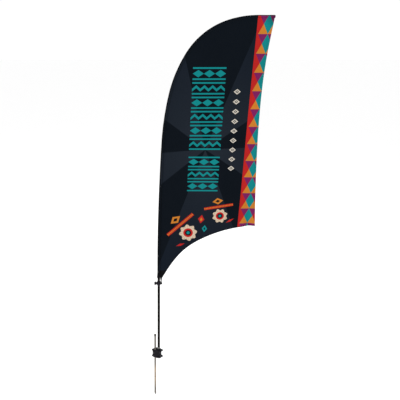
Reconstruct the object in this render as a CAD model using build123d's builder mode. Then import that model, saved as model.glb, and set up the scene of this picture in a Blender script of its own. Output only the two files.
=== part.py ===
"""Feather flag with a bent plug-together pole, on a rotating spindle clamped to a ground spike.

+Z is up, +X points from the spike to the flag's free edge, and the flag lies in the XZ plane.
The origin is on the spike's axis, level with the bracket's underside, where the ground comes.
"""

import os
from math import cos, degrees, radians, sin

from build123d import *

os.makedirs("parts", exist_ok=True)

# Pole: its axis beside the spike, the bend of its centre line from the foot up, and its sections
pole_x = 24.0
straight_length = 676.0
bend_radii = (13600.0, 1560.0, 680.0, 376.0, 516.0)
bend_turns = (3.32, 9.54, 19.2, 40.4, 17.54)
end_length = 81.0
foot_z = 78.0
plug_length = 60.0
lower_top, middle_top, upper_top = 760.0, 1420.0, 1980.0
lower_outer, lower_bore = 8.0, 6.0
middle_outer, middle_bore = 5.95, 3.95
upper_outer, upper_bore = 3.9, 2.65
rod_radius, rod_tip_radius = 2.6, 1.6
ferrule_length, ferrule_wall = 22.0, 0.3
cap_radius, cap_length, cap_overhang, cap_rounding = 2.5, 18.0, 3.0, 2.0

# Flag: sewn to the sleeve along a seam beside the pole
seam_inset = 9.0
flag_foot = 598.0
sleeve_wall = 0.6
sleeve_profile = ((600.0, 8.95), (760.0, 8.95), (1420.0, 7.8), (1980.0, 5.7), (2434.0, 3.7))
pocket_length, pocket_radius, pocket_bore, pocket_roof, pocket_rounding = 27.0, 4.0, 2.8, 1.6, 2.0
panel_thickness = 0.8
seam_thickness = 1.6
patch_thickness = 2.0
tab_thickness = 2.4
pocket_thickness = 2.4
free_edge_points = ((565.0, 1920.0), (550.6, 1640.0), (553.9, 1290.0))
low_corner = (571.5, 955.0)
bottom_edge_points = ((480.0, 945.5), (300.0, 890.5), (162.0, 804.0), (72.0, 689.0))
lower_tip = (20.0, 598.0)
side_hem_width = 12.0
bottom_hem_shift = (-6.0, 8.0)
patch_top, patch_reach = 650.0, 60.0
tab_x, tab_half_width, tab_top, grommet_z = 15.0, 5.8, 630.0, 591.0
eyelet_hole, eyelet_barrel, eyelet_flange, eyelet_flange_thickness = 4.0, 4.6, 5.4, 0.6

# Ground spike, with a shallow turned ring that marks how deep it goes
spike_radius = 6.0
spike_top, spike_shoulder, spike_point = 176.0, -306.0, -322.0
spike_point_radius = 2.2
spike_mark_height, spike_mark_radius = 2.0, 5.7
spike_cap_radius, spike_cap_length, spike_cap_roof, spike_cap_chamfer = 7.3, 13.0, 2.5, 1.6

# Bracket: two moulded halves that meet in the XZ plane, with flanges above and below a ribbed waist
bracket_height, flange_thickness = 54.0, 7.0
flange_radius, flange_centres = 18.5, ((6.0, 4.0), (25.0, -4.0))
ear_tip_radius, ear_root_radius = 5.0, 13.0
left_ear_tip, right_ear_tip = (-17.4, 3.0), (46.8, -3.0)
left_ear_root, right_ear_root = (-3.0, 2.0), (31.0, -2.0)
tether_hole_radius, tether_hole_place = 2.2, (45.0, -3.2)
waist_left_x, waist_right_x, waist_half_depth, waist_corner = -17.5, 41.5, 14.0, 1.0
rib_width, rib_depth, rib_pitch, rib_count = 3.0, 1.4, 8.4, 3
hub_radius, hub_height, hub_chamfer = 10.6, 11.0, 1.2
spike_clearance = 0.05
half_gap = 0.4
bolt_columns, bolt_rows = (-11.0, 34.0), (14.0, 40.0)
bolt_radius, bolt_hole_radius, bolt_overhang = 2.0, 2.15, 1.2
bolt_head_radius, bolt_head_height, bolt_head_chamfer = 3.4, 3.6, 0.5
bolt_socket_radius, bolt_socket_depth = 1.5, 2.0
bolt_washer_radius, bolt_washer_thickness = 3.8, 0.8
nut_flats_radius, nut_thickness = 3.6, 3.2

# Spindle and the sleeve that turns on it
spindle_radius, spindle_foot, spindle_top = 4.0, 18.0, 166.0
spindle_head_radius, spindle_head_height, spindle_chamfer = 6.0, 6.0, 1.0
clip_z, clip_thickness, clip_groove_radius, clip_radius, clip_opening = 160.4, 1.0, 3.2, 4.9, 4.4
washer_thickness, washer_radius = 1.3, 9.0
rotator_foot, rotator_top, rotator_chamfer = 66.5, 160.0, 0.6
rotator_bore, rotator_radius, rotator_shoulder_radius = 4.05, 5.94, 8.0

# Tension collar, with its fluted knob on the left and its strap post on the right
collar_foot, collar_top, collar_radius, collar_bore = 549.0, 573.0, 11.6, 8.06
collar_chamfer = 1.4
boss_radius, boss_reach, boss_z = 8.6, 14.0, 560.0
insert_radius, insert_start, screw_radius = 3.6, 9.0, 2.5
insert_bore = 2.55
screw_tip, screw_socket_end, screw_chamfer = 8.3, 23.0, 0.6
knob_left, knob_neck, knob_right, knob_radius, knob_neck_radius = 28.2, 16.4, 14.4, 10.5, 7.6
flute_count, flute_radius, flute_centre_radius, knob_edge = 9, 1.8, 11.6, 1.4
post_radius, post_disc_radius, post_disc_thickness, post_z, post_end = 2.9, 8.2, 3.0, 558.5, 21.4
post_root, post_rounding = 8.8, 0.9
loop_width, loop_thickness, loop_half_gap, loop_top_z = 6.4, 1.6, 3.2, 588.0


def stretches():
    """The centre line's stretches from the foot up, each a length and a bend radius, 0 when straight."""
    bends = [(radius * radians(turn), radius) for radius, turn in zip(bend_radii, bend_turns)]
    return [(straight_length, 0.0)] + bends + [(end_length, 0.0)]


def joints_between(start, end):
    """The lengths at which one stretch of the centre line meets the next, between two lengths."""
    position, found = 0.0, []
    for span, _ in stretches():
        position += span
        if start < position < end:
            found.append(position)
    return found


pole_length = sum(span for span, _ in stretches())


def place_at(length):
    """Where the centre line is at a length along it, and its lean from the vertical in radians."""
    x, z, lean = pole_x, 0.0, 0.0
    for span, radius in stretches():
        step = min(span, length)
        if radius:
            turn = step / radius
            x += radius * (cos(lean) - cos(lean + turn))
            z += radius * (sin(lean + turn) - sin(lean))
            lean += turn
        else:
            x += step * sin(lean)
            z += step * cos(lean)
        length -= step
        if length <= 0:
            break
    return x, z, lean


def beside_pole(length, inset):
    """The point that lies a given distance to the flag's side of the centre line."""
    x, z, lean = place_at(length)
    return x + inset * cos(lean), z - inset * sin(lean)


def draw_along(start, end, inset=0.0):
    """Draws the centre line between two lengths, or a line beside it on the flag's side."""
    position = 0.0
    for span, radius in stretches():
        low, high = max(start, position), min(end, position + span)
        if high > low:
            lean = place_at(low)[2]
            begin = beside_pole(low, inset)
            if radius:
                JernArc(begin, (sin(lean), cos(lean)), radius - inset, -degrees((high - low) / radius))
            else:
                Line(begin, beside_pole(high, inset))
        position += span


def section_plane(length):
    """The plane square to the centre line at a length along it."""
    x, z, lean = place_at(length)
    return Plane(origin=(x, 0, z), x_dir=(0, 1, 0), z_dir=(sin(lean), 0, cos(lean)))


def radius_at(profile, length):
    """The radius of a tapered profile at a length along the centre line."""
    for (low, low_radius), (high, high_radius) in zip(profile, profile[1:]):
        if low <= length <= high:
            return low_radius + (high_radius - low_radius) * (length - low) / (high - low)
    return profile[-1][1]


def taper_along(profile, shrink=0.0, mode=Mode.ADD):
    """Sweeps a circle along the centre line, with its radius following the profile."""
    start, end = profile[0][0], profile[-1][0]
    lengths = sorted({length for length, _ in profile} | set(joints_between(start, end)))
    for low, high in zip(lengths, lengths[1:]):
        with BuildLine(Plane.XZ) as path:
            draw_along(low, high)
        with BuildSketch(section_plane(low)) as first:
            Circle(radius_at(profile, low) - shrink)
        with BuildSketch(section_plane(high)) as last:
            Circle(radius_at(profile, high) - shrink)
        sweep(sections=[first.sketch, last.sketch], path=path.line, multisection=True, mode=mode)


def ring_along(start, end, outer, inner=0.0):
    """Sweeps a ring, or a disc when inner is 0, along the centre line."""
    with BuildLine(Plane.XZ) as path:
        draw_along(start, end)
    with BuildSketch(section_plane(start)) as section:
        Circle(outer)
        if inner:
            Circle(inner, mode=Mode.SUBTRACT)
    sweep(sections=section.sketch, path=path.line)


def strip_along(start, end, thickness):
    """A flat strip from the centre line to the seam."""
    with BuildSketch(Plane.XZ) as strip:
        with BuildLine():
            draw_along(start, end)
            draw_along(start, end, seam_inset)
            Line(beside_pole(start, 0), beside_pole(start, seam_inset))
            Line(beside_pole(end, 0), beside_pole(end, seam_inset))
        make_face()
    extrude(strip.sketch, amount=thickness / 2, both=True)


def write(piece, label):
    """Names a finished piece and writes its file."""
    piece.part.label = label
    export_step(piece.part, f"parts/{label}.step")


# ---- Pole sections, each plugged into the one below it ----

with BuildPart() as pole_lower_tube:
    ring_along(foot_z, lower_top, lower_outer, lower_bore)
write(pole_lower_tube, "pole_lower_tube")

with BuildPart() as pole_middle_tube:
    ring_along(lower_top - plug_length, middle_top, middle_outer, middle_bore)
write(pole_middle_tube, "pole_middle_tube")

with BuildPart() as pole_upper_tube:
    ring_along(middle_top - plug_length, upper_top, upper_outer, upper_bore)
write(pole_upper_tube, "pole_upper_tube")

rod_start = upper_top - plug_length
rod_profile = ((rod_start, rod_radius), (upper_top, rod_radius), (pole_length, rod_tip_radius))
with BuildPart() as pole_tip_rod:
    taper_along(rod_profile)
write(pole_tip_rod, "pole_tip_rod")

for name, top, tube_radius in (
    ("lower_ferrule", lower_top, lower_outer),
    ("middle_ferrule", middle_top, middle_outer),
    ("upper_ferrule", upper_top, upper_outer),
):
    with BuildPart() as ferrule:
        ring_along(top - ferrule_length, top, tube_radius + ferrule_wall, tube_radius)
    write(ferrule, name)

tip_x, tip_z = place_at(pole_length)[:2]
with BuildPart() as pole_tip_cap:
    with BuildSketch(Plane.YZ.offset(tip_x + cap_overhang - cap_length)):
        with Locations((0, tip_z)):
            Circle(cap_radius)
    extrude(amount=cap_length)
    fillet(pole_tip_cap.edges().sort_by(Axis.X)[-1], cap_rounding)
    taper_along(rod_profile, mode=Mode.SUBTRACT)
write(pole_tip_cap, "pole_tip_cap")

# ---- Sleeve, tip pocket and the flag's fabric ----

with BuildPart() as pole_sleeve:
    taper_along(sleeve_profile)
    strip_along(sleeve_profile[0][0], sleeve_profile[-1][0], seam_thickness)
    taper_along(sleeve_profile, sleeve_wall, Mode.SUBTRACT)
write(pole_sleeve, "pole_sleeve")

pocket_start = sleeve_profile[-1][0]
pocket_x = place_at(pocket_start)[0]
with BuildPart() as tip_pocket:
    with BuildSketch(Plane.YZ.offset(pocket_x)):
        with Locations((0, tip_z)):
            Circle(pocket_radius)
    extrude(amount=pocket_length)
    fillet(tip_pocket.edges().sort_by(Axis.X)[-1], pocket_rounding)
    strip_along(pocket_start, pole_length, pocket_thickness)
    with BuildSketch(Plane.YZ.offset(pocket_x)):
        with Locations((0, tip_z)):
            Circle(pocket_bore)
    extrude(amount=pocket_length - pocket_roof, mode=Mode.SUBTRACT)
write(tip_pocket, "tip_pocket")


def from_pole(point, shift=(0.0, 0.0)):
    """A point of the flag's plane given from the pole's axis, moved by a shift."""
    return pole_x + point[0] + shift[0], point[1] + shift[1]


def draw_free_edge(shift=(0.0, 0.0)):
    """The free edge, hollowed between the flag's tip and its low corner."""
    tip = beside_pole(pole_length, seam_inset)
    points = [from_pole(point, shift) for point in (*free_edge_points, low_corner)]
    Spline((tip[0] + shift[0], tip[1] + shift[1]), *points)


def draw_bottom_edge(shift=(0.0, 0.0)):
    """The bottom edge, from the low corner down to the flag's foot beside the pole."""
    Spline(*[from_pole(point, shift) for point in (low_corner, *bottom_edge_points, lower_tip)])


def flag_outline():
    """The whole flag beside the sleeve's seam."""
    with BuildSketch(Plane.XZ) as outline:
        with BuildLine():
            draw_along(flag_foot, pole_length, seam_inset)
            draw_free_edge()
            draw_bottom_edge()
            Line(from_pole(lower_tip), beside_pole(flag_foot, seam_inset))
        make_face()
    return outline.sketch


def side_hem_zone():
    """The strip along the free edge that is folded into its hem."""
    shift = (-side_hem_width, 0.0)
    tip = beside_pole(pole_length, seam_inset)
    with BuildSketch(Plane.XZ) as zone:
        with BuildLine():
            draw_free_edge()
            draw_free_edge(shift)
            Line(tip, (tip[0] - side_hem_width, tip[1]))
            Line(from_pole(low_corner), from_pole(low_corner, shift))
        make_face()
    return zone.sketch


def bottom_hem_zone():
    """The strip along the bottom edge that is folded into its hem."""
    with BuildSketch(Plane.XZ) as zone:
        with BuildLine():
            draw_bottom_edge()
            draw_bottom_edge(bottom_hem_shift)
            Line(from_pole(low_corner), from_pole(low_corner, bottom_hem_shift))
            Line(from_pole(lower_tip), from_pole(lower_tip, bottom_hem_shift))
        make_face()
    return zone.sketch


def patch_zone():
    """The reinforced triangle at the flag's foot."""
    with BuildSketch(Plane.XZ) as zone:
        with Locations((pole_x, flag_foot)):
            Rectangle(patch_reach, patch_top - flag_foot, align=(Align.MIN, Align.MIN))
    return zone.sketch


def tab_zone():
    """The webbing tab that carries the grommet, rounded at its lower end."""
    with BuildSketch(Plane.XZ) as zone:
        with Locations((pole_x + tab_x, grommet_z)):
            Circle(tab_half_width)
            Rectangle(2 * tab_half_width, tab_top - grommet_z, align=(Align.CENTER, Align.MIN))
    return zone.sketch


def write_fabric(label, thickness, inside, outside=()):
    """A flat piece of fabric inside every one of some zones and outside others."""
    with BuildPart() as piece:
        with BuildSketch(Plane.XZ) as shape:
            add(inside[0])
            for zone in inside[1:]:
                add(zone, mode=Mode.INTERSECT)
            for zone in outside:
                add(zone, mode=Mode.SUBTRACT)
        extrude(shape.sketch, amount=thickness / 2, both=True)
    write(piece, label)


outline, side_hem, bottom_hem = flag_outline(), side_hem_zone(), bottom_hem_zone()
patch, tab = patch_zone(), tab_zone()
write_fabric("flag_panel", panel_thickness, [outline], [side_hem, bottom_hem, patch])
write_fabric("free_edge_hem", seam_thickness, [outline, side_hem], [bottom_hem])
write_fabric("bottom_hem", seam_thickness, [outline, bottom_hem], [patch])
write_fabric("corner_patch", patch_thickness, [outline, patch], [tab])

with BuildSketch(Plane.XZ) as eyelet_seat:
    with Locations((pole_x + tab_x, grommet_z)):
        Circle(eyelet_barrel)
write_fabric("corner_tab", tab_thickness, [tab], [eyelet_seat.sketch])


def eyelet_ring(start_y, end_y, outer, inner):
    """A ring of the grommet between two distances in front of the flag's middle plane."""
    with BuildSketch(Plane.XZ.offset(start_y)) as ring:
        with Locations((pole_x + tab_x, grommet_z)):
            Circle(outer)
            Circle(inner, mode=Mode.SUBTRACT)
    extrude(ring.sketch, amount=end_y - start_y)


eyelet_depth = tab_thickness / 2 + eyelet_flange_thickness
with BuildPart() as corner_grommet:
    eyelet_ring(-eyelet_depth, eyelet_depth, eyelet_barrel, eyelet_hole)
    eyelet_ring(tab_thickness / 2, eyelet_depth, eyelet_flange, eyelet_hole)
write(corner_grommet, "corner_grommet")

with BuildPart() as grommet_washer:
    eyelet_ring(-eyelet_depth, -tab_thickness / 2, eyelet_flange, eyelet_barrel)
write(grommet_washer, "grommet_washer")

# ---- Ground spike ----

rod_top = spike_top - spike_cap_roof
with BuildPart() as spike_rod:
    with BuildSketch(Plane.XZ):
        with BuildLine():
            Polyline(
                (0, spike_point),
                (spike_point_radius, spike_point),
                (spike_radius, spike_shoulder),
                (spike_radius, 0),
                (spike_mark_radius, 0),
                (spike_mark_radius, spike_mark_height),
                (spike_radius, spike_mark_height),
                (spike_radius, rod_top),
                (0, rod_top),
                close=True,
            )
        make_face()
    revolve(axis=Axis.Z)
write(spike_rod, "spike_rod")

with BuildPart() as spike_cap:
    with BuildSketch(Plane.XY.offset(spike_top - spike_cap_length)):
        Circle(spike_cap_radius)
    extrude(amount=spike_cap_length)
    chamfer(spike_cap.edges().sort_by(Axis.Z)[-1], spike_cap_chamfer)
    with BuildSketch(Plane.XY.offset(spike_top - spike_cap_length)):
        Circle(spike_radius)
    extrude(amount=spike_cap_length - spike_cap_roof, mode=Mode.SUBTRACT)
write(spike_cap, "spike_cap")

# ---- Bracket halves and the bolts through them ----


def flange(foot):
    """One of the bracket's eared flanges."""
    with BuildSketch(Plane.XY.offset(foot)) as outline:
        with BuildSketch(mode=Mode.PRIVATE) as plate:
            with Locations(*flange_centres):
                Circle(flange_radius)
            make_hull()
        add(plate.sketch)
        for tip, root in ((left_ear_tip, left_ear_root), (right_ear_tip, right_ear_root)):
            with BuildSketch(mode=Mode.PRIVATE) as ear:
                with Locations(tip):
                    Circle(ear_tip_radius)
                with Locations(root):
                    Circle(ear_root_radius)
                make_hull()
            add(ear.sketch)
        with Locations(tether_hole_place):
            Circle(tether_hole_radius, mode=Mode.SUBTRACT)
    extrude(outline.sketch, amount=flange_thickness)


def waist():
    """The ribbed block between the flanges."""
    middle = (waist_left_x + waist_right_x) / 2
    with BuildSketch(Plane.XY.offset(flange_thickness)) as section:
        with Locations((middle, 0)):
            RectangleRounded(waist_right_x - waist_left_x, 2 * waist_half_depth, waist_corner)
            with GridLocations(rib_pitch, 2 * waist_half_depth, rib_count, 2):
                Rectangle(rib_width, 2 * rib_depth)
    extrude(section.sketch, amount=bracket_height - 2 * flange_thickness)


def upright_bore(x, radius, low, high):
    """An upright round hole in the bracket."""
    with BuildSketch(Plane.XY.offset(low)) as hole:
        with Locations((x, 0)):
            Circle(radius)
    extrude(hole.sketch, amount=high - low, mode=Mode.SUBTRACT)


def bolt_places():
    """Where the bolts go through, in the XZ plane."""
    return [(x, z) for x in bolt_columns for z in bolt_rows]


hub_top = bracket_height + hub_height
for label, face in (("bracket_front_half", Plane.XZ), ("bracket_rear_half", Plane.ZX)):
    with BuildPart() as half:
        flange(0)
        flange(bracket_height - flange_thickness)
        waist()
        with BuildSketch(Plane.XY.offset(bracket_height)):
            with Locations((pole_x, 0)):
                Circle(hub_radius)
        extrude(amount=hub_height)
        chamfer(half.faces().sort_by(Axis.Z)[-1].edges(), hub_chamfer)
        upright_bore(0, spike_radius + spike_clearance, 0, bracket_height)
        upright_bore(pole_x, spindle_radius, spindle_foot, hub_top)
        upright_bore(pole_x, spindle_head_radius, spindle_foot, spindle_foot + spindle_head_height)
        with BuildSketch(Plane.XZ):
            with Locations(*bolt_places()):
                Circle(bolt_hole_radius)
        extrude(amount=flange_radius, both=True, mode=Mode.SUBTRACT)
        split(bisect_by=face.offset(half_gap), keep=Keep.TOP)
    write(half, label)

head_face = waist_half_depth + bolt_washer_thickness
bolt_reach = waist_half_depth + nut_thickness + bolt_overhang
with BuildPart() as clamp_bolts:
    with BuildSketch(Plane.XZ.offset(-bolt_reach)):
        with Locations(*bolt_places()):
            Circle(bolt_radius)
    extrude(amount=bolt_reach + head_face)
    with BuildSketch(Plane.XZ.offset(head_face)):
        with Locations(*bolt_places()):
            Circle(bolt_head_radius)
    extrude(amount=bolt_head_height)
    chamfer(clamp_bolts.faces().group_by(Axis.Y)[0].edges(), bolt_head_chamfer)
    with BuildSketch(Plane.XZ.offset(head_face + bolt_head_height)):
        with Locations(*bolt_places()):
            RegularPolygon(bolt_socket_radius, 6, major_radius=False)
    extrude(amount=-bolt_socket_depth, mode=Mode.SUBTRACT)
write(clamp_bolts, "clamp_bolts")

with BuildPart() as clamp_washers:
    with BuildSketch(Plane.XZ.offset(waist_half_depth)):
        with Locations(*bolt_places()):
            Circle(bolt_washer_radius)
            Circle(bolt_radius, mode=Mode.SUBTRACT)
    extrude(amount=bolt_washer_thickness)
write(clamp_washers, "clamp_washers")

with BuildPart() as clamp_nuts:
    with BuildSketch(Plane.ZX.offset(waist_half_depth)):
        with Locations(*[(z, x) for x, z in bolt_places()]):
            RegularPolygon(nut_flats_radius, 6, major_radius=False)
            Circle(bolt_radius, mode=Mode.SUBTRACT)
    extrude(amount=nut_thickness)
write(clamp_nuts, "clamp_nuts")

# ---- Spindle, its clip, and the sleeve that turns on it ----


def disc(foot, height, radius, mode=Mode.ADD):
    """An upright disc on the pole's axis."""
    with BuildSketch(Plane.XY.offset(foot)) as section:
        with Locations((pole_x, 0)):
            Circle(radius)
    extrude(section.sketch, amount=height, mode=mode)


with BuildPart() as spindle:
    disc(spindle_foot, spindle_head_height, spindle_head_radius)
    disc(spindle_foot, clip_z - spindle_foot, spindle_radius)
    disc(clip_z, clip_thickness, clip_groove_radius)
    disc(clip_z + clip_thickness, spindle_top - clip_z - clip_thickness, spindle_radius)
    chamfer(spindle.edges().sort_by(Axis.Z)[-1], spindle_chamfer)
write(spindle, "spindle")

with BuildPart() as spindle_clip:
    disc(clip_z, clip_thickness, clip_radius)
    disc(clip_z, clip_thickness, clip_groove_radius, Mode.SUBTRACT)
    with BuildSketch(Plane.XY.offset(clip_z)):
        with Locations((pole_x, 0)):
            Rectangle(clip_radius, clip_opening, align=(Align.MIN, Align.CENTER))
    extrude(amount=clip_thickness, mode=Mode.SUBTRACT)
write(spindle_clip, "spindle_clip")

with BuildPart() as thrust_washer:
    disc(hub_top, washer_thickness, washer_radius)
    disc(hub_top, washer_thickness, spindle_radius, Mode.SUBTRACT)
write(thrust_washer, "thrust_washer")

with BuildPart() as rotator_sleeve:
    disc(rotator_foot, foot_z - rotator_foot, rotator_shoulder_radius)
    disc(foot_z, rotator_top - foot_z, rotator_radius)
    chamfer(rotator_sleeve.edges().sort_by(Axis.Z)[-1], rotator_chamfer)
    disc(rotator_foot, rotator_top - rotator_foot, rotator_bore, Mode.SUBTRACT)
write(rotator_sleeve, "rotator_sleeve")

# ---- Tension collar, thumb knob, strap post and loop ----


def crossways(start, end, radius, z, mode=Mode.ADD):
    """A rod along X between two distances from the pole's axis."""
    with BuildSketch(Plane.YZ.offset(pole_x + start)) as section:
        with Locations((0, z)):
            Circle(radius)
    extrude(section.sketch, amount=end - start, mode=mode)


with BuildPart() as tension_collar:
    disc(collar_foot, collar_top - collar_foot, collar_radius)
    ends = tension_collar.faces().filter_by(Axis.Z).edges()
    chamfer(ends, collar_chamfer)
    crossways(-boss_reach, 0, boss_radius, boss_z)
    disc(collar_foot, collar_top - collar_foot, collar_bore, Mode.SUBTRACT)
    crossways(-boss_reach, -insert_start, insert_radius, boss_z, Mode.SUBTRACT)
    crossways(-insert_start, 0, insert_bore, boss_z, Mode.SUBTRACT)
    crossways(post_root, collar_radius, post_radius, post_z, Mode.SUBTRACT)
write(tension_collar, "tension_collar")

with BuildPart() as collar_insert:
    crossways(-boss_reach, -insert_start, insert_radius, boss_z)
    crossways(-boss_reach, -insert_start, insert_bore, boss_z, Mode.SUBTRACT)
write(collar_insert, "collar_insert")

with BuildPart() as knob_stud:
    crossways(-screw_socket_end, -screw_tip, screw_radius, boss_z)
    chamfer(knob_stud.edges().sort_by(Axis.X)[-1], screw_chamfer)
write(knob_stud, "knob_stud")

with BuildPart() as thumb_knob:
    with BuildSketch(Plane.YZ.offset(pole_x - knob_left)):
        with Locations((0, boss_z)):
            Circle(knob_radius)
            with PolarLocations(flute_centre_radius, flute_count):
                Circle(flute_radius, mode=Mode.SUBTRACT)
    extrude(amount=knob_left - knob_neck)
    for end in (0, -1):
        chamfer(thumb_knob.faces().sort_by(Axis.X)[end].edges(), knob_edge)
    crossways(-knob_neck, -knob_right, knob_neck_radius, boss_z)
    crossways(-screw_socket_end, -knob_right, screw_radius, boss_z, Mode.SUBTRACT)
write(thumb_knob, "thumb_knob")

with BuildPart() as strap_post:
    crossways(post_root, post_end, post_radius, post_z)
    crossways(post_end - post_disc_thickness, post_end, post_disc_radius, post_z)
    fillet(strap_post.edges().sort_by(Axis.X)[-1], post_rounding)
write(strap_post, "strap_post")

loop_middle_z, loop_reach = (post_z + loop_top_z) / 2, loop_top_z - post_z
with BuildPart() as tension_loop:
    with BuildSketch(Plane.YZ.offset(pole_x + tab_x - loop_width / 2)):
        with Locations((0, loop_middle_z)):
            SlotCenterToCenter(loop_reach, 2 * (loop_half_gap + loop_thickness), rotation=90)
            SlotCenterToCenter(loop_reach, 2 * loop_half_gap, rotation=90, mode=Mode.SUBTRACT)
    extrude(amount=loop_width)
write(tension_loop, "tension_loop")
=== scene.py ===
"""Looks of the feather flag: its cloth, print, stitching and materials, the studio and the camera.

Lengths are in millimetres until a mesh is made. The frame is the CAD's: +Z up, +X from the spike
to the flag's free edge, and the cloth lies in the XZ plane with its front towards -Y.
"""

from math import atan2, copysign, cos, exp, hypot, pi, radians, sin, sqrt

import bpy
import numpy as np
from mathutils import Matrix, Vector


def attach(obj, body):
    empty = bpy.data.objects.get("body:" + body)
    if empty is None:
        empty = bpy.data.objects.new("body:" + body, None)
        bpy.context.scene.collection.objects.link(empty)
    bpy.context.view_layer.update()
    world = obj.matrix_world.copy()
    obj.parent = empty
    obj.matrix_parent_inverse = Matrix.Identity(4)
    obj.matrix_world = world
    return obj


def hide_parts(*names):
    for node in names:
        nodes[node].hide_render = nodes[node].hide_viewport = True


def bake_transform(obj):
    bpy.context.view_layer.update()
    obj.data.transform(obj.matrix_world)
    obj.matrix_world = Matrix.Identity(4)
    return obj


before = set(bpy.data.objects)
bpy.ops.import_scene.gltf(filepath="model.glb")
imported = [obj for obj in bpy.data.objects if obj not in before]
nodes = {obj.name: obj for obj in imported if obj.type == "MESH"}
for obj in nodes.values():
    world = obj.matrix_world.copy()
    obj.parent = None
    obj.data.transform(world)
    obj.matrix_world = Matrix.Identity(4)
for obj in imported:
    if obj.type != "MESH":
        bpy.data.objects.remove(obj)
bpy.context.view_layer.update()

MM = 0.001

# ---- Camera ----

CAMERA_PLACE = (0.024, -2.46, 2.037)
CAMERA_TILT = 69.5
CAMERA_LENS = 40.5
CAMERA_SHIFT = 0.103

camera_data = bpy.data.cameras.new("camera")
camera_data.lens = CAMERA_LENS
camera_data.shift_x = CAMERA_SHIFT
camera = bpy.data.objects.new("camera", camera_data)
camera.location = CAMERA_PLACE
camera.rotation_euler = (radians(CAMERA_TILT), 0.0, 0.0)
bpy.context.scene.collection.objects.link(camera)
bpy.context.scene.camera = camera

# ---- The flag's lines, with the same sizes as the CAD, and x counted from the pole's axis ----

POLE_X = 24.0
STRAIGHT = 676.0
BENDS = ((13600.0, 3.32), (1560.0, 9.54), (680.0, 19.2), (376.0, 40.4), (516.0, 17.54))
END = 81.0
SEAM_INSET = 9.0
FOOT = 598.0
LOW_CORNER = (571.5, 955.0)
FREE_EDGE_POINTS = (LOW_CORNER, (553.9, 1290.0), (550.6, 1640.0), (565.0, 1920.0))
BOTTOM_POINTS = ((20.0, 598.0), (72.0, 689.0), (162.0, 804.0), (300.0, 890.5), (480.0, 945.5), LOW_CORNER)
SLEEVE_RADII = ((600.0, 8.95), (760.0, 8.95), (1420.0, 7.8), (1980.0, 5.7), (2434.0, 3.7))
POCKET_START = 2434.0
PATCH_TOP = 650.0
TAB_X, TAB_HALF, TAB_TOP = 15.0, 5.8, 630.0
GROMMET_Z, GROMMET_BARREL = 591.0, 4.6
POST_Z, LOOP_TOP_Z, LOOP_HALF_GAP, LOOP_THICKNESS, LOOP_WIDTH = 558.5, 588.0, 3.2, 1.6, 6.4

STRETCHES = [(STRAIGHT, 0.0)] + [(radius * radians(turn), radius) for radius, turn in BENDS] + [(END, 0.0)]
POLE_LENGTH = sum(span for span, _ in STRETCHES)


def centre_line(length):
    """The pole's centre line at a length from the ground, and its lean from the vertical."""
    x, z, lean = 0.0, 0.0, 0.0
    for span, radius in STRETCHES:
        step = min(span, length)
        if radius:
            turn = step / radius
            x += radius * (cos(lean) - cos(lean + turn))
            z += radius * (sin(lean + turn) - sin(lean))
            lean += turn
        else:
            x, z = x + step * sin(lean), z + step * cos(lean)
        length -= step
        if length <= 0:
            break
    return x, z, lean


def beside(length, inset):
    """The point a distance to the flag's side of the centre line."""
    x, z, lean = centre_line(length)
    return x + inset * cos(lean), z - inset * sin(lean)


def between(low, high, share):
    return low + (high - low) * share


def spline_through(points):
    """A natural cubic spline through points, as a function of the share of its chords' length."""
    points = np.array(points)
    knots = np.concatenate([[0.0], np.cumsum(np.hypot(*np.diff(points, axis=0).T))])
    count, steps = len(points), np.diff(knots)
    system, right = np.eye(count), np.zeros((count, 2))
    for i in range(1, count - 1):
        system[i, i - 1 : i + 2] = steps[i - 1], 2 * (steps[i - 1] + steps[i]), steps[i]
        slopes = (points[i + 1] - points[i]) / steps[i] - (points[i] - points[i - 1]) / steps[i - 1]
        right[i] = 6 * slopes
    bends = np.linalg.solve(system, right)

    def at(share):
        t = share * knots[-1]
        i = min(int(np.searchsorted(knots, t, side="right")) - 1, count - 2)
        a, b, h = knots[i + 1] - t, t - knots[i], steps[i]
        place = (bends[i] * a**3 + bends[i + 1] * b**3) / (6 * h)
        place = place + (points[i] / h - bends[i] * h / 6) * a
        place = place + (points[i + 1] / h - bends[i + 1] * h / 6) * b
        return float(place[0]), float(place[1])

    return at


TIP = beside(POLE_LENGTH, SEAM_INSET)
free_edge = spline_through((*FREE_EDGE_POINTS, TIP))
bottom_edge = spline_through(BOTTOM_POINTS)

# ---- How the cloth hangs ----

BILLOW, BILLOW_PHASE = 7.0, 0.5
BILLOW_ACROSS, BILLOW_UP = 210.0, 175.0
BILLOW_AT_SEAM = 0.35
PULL_FOLDS, PULL_DEPTH, PULL_REACH = 17.0, 1.9, 330.0
SEAM_CALM, FOOT_CALM, FOOT_STILL = 150.0, 240.0, 30.0
PULL_CALM, PUCKER_START, PUCKER_CALM = 40.0, 60.0, 3.0
PUCKER_DEPTH, PUCKER_WAVE, PUCKER_REACH = 0.55, 8.6, 13.0
CORNER_REACH = 85.0
CORNER_WAVES = ((531.0, 20.0, 9.0), (574.0, 15.0, -6.5))

SEAM_SAMPLES = 620

seam_lengths = np.linspace(FOOT, POLE_LENGTH, SEAM_SAMPLES)
seam_samples = np.array([beside(length, SEAM_INSET) for length in seam_lengths])


def smooth(share):
    share = min(max(share, 0.0), 1.0)
    return share * share * (3 - 2 * share)


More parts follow.
